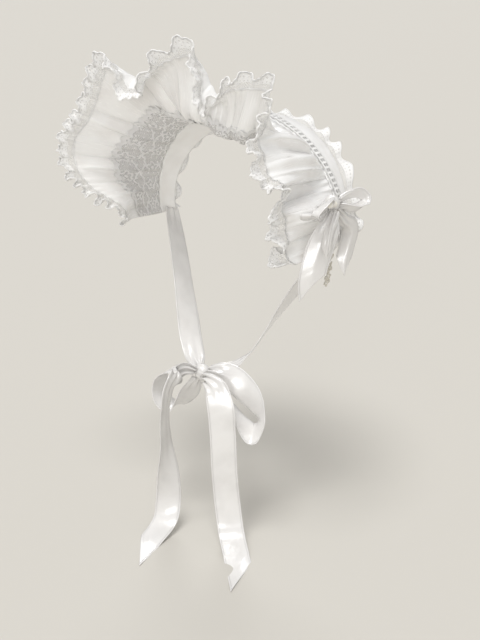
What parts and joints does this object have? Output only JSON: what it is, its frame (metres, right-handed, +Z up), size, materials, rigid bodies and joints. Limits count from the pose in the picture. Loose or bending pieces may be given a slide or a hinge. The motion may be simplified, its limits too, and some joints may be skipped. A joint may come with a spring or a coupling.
{
  "type": "frill headdress",
  "caption": "Satin half-bonnet headdress with a fluted brim, net and lace frills, a side bow with pearls and a lace drop, and a satin ribbon tied in a bow under the chin",
  "frame": {"origin": "Underside of the base band at the middle of the crown, where the band sits on the dressed head. It is a mount of kind other named crown_seat.", "axes": "+Z is up along the worn head, the wearer faces -Y, the wearer's left side, with the side bow, is +X"},
  "size_m": [0.2823, 0.2485, 0.4661],
  "materials": {
    "satin": "off-white satin, soft sheen",
    "lace": "off-white net and lace, matt",
    "ribbon": "off-white satin ribbon, glossy",
    "cream_lace": "cream corded lace, matt",
    "pearl": "pearl white, glossy"
  },
  "bodies": {
    "root": {"base_band": "satin", "brim": "satin", "ladder_lace": "lace", "lace_facing": "lace", "brim_frill": "lace", "back_frill": "lace", "chin_strap_left": "ribbon", "chin_strap_right": "ribbon", "chin_knot": "ribbon", "chin_loop_left": "ribbon", "chin_loop_right": "ribbon", "chin_tail_left": "ribbon", "chin_tail_right": "ribbon", "bow_knot": "ribbon", "bow_loop_front": "ribbon", "bow_loop_back": "ribbon", "bow_tail_front": "ribbon", "bow_tail_middle": "ribbon", "bow_tail_back": "ribbon", "lace_drop": "cream_lace", "pearl_front": "pearl", "pearl_back": "pearl"}
  },
  "joints": []
}
